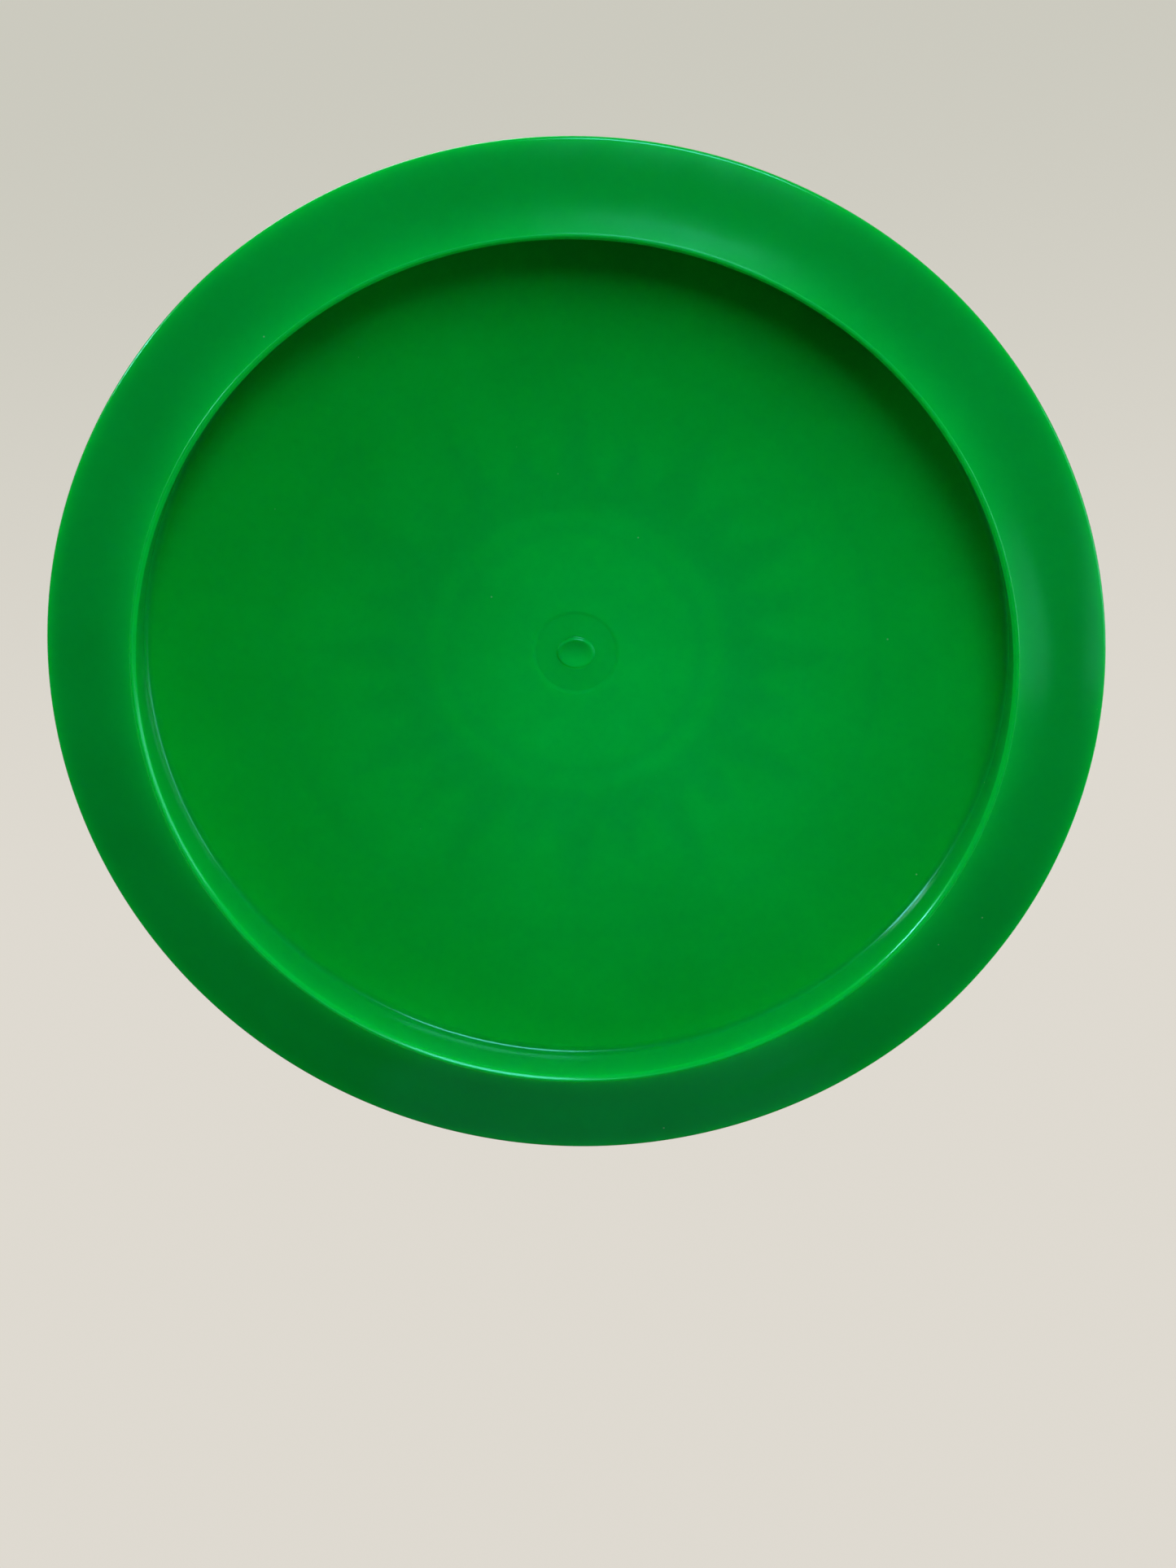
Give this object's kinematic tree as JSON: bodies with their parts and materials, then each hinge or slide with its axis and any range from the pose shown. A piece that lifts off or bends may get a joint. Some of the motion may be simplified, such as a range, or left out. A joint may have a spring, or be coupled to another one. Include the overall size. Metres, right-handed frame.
{
  "type": "flying disc",
  "caption": "Disc-golf driver: a shallow domed flight plate inside a wide, sharp-nosed rim, moulded in one piece of green plastic, with a foil stamp on top.",
  "frame": {"origin": "on the spin axis, in the plane of the rim's flat land that the disc rests on", "axes": "+Z along the spin axis, out of the domed top face; the disc is right side up, as it flies"},
  "size_m": [0.211, 0.211, 0.0175],
  "materials": {
    "green_plastic": "glossy, slightly translucent premium disc plastic",
    "silver_foil": "bright hot-stamped foil"
  },
  "bodies": {
    "root": {"disc_body": "green_plastic", "foil_inner_ring": "silver_foil", "foil_sunburst": "silver_foil", "foil_outer_ring": "silver_foil"}
  },
  "joints": []
}
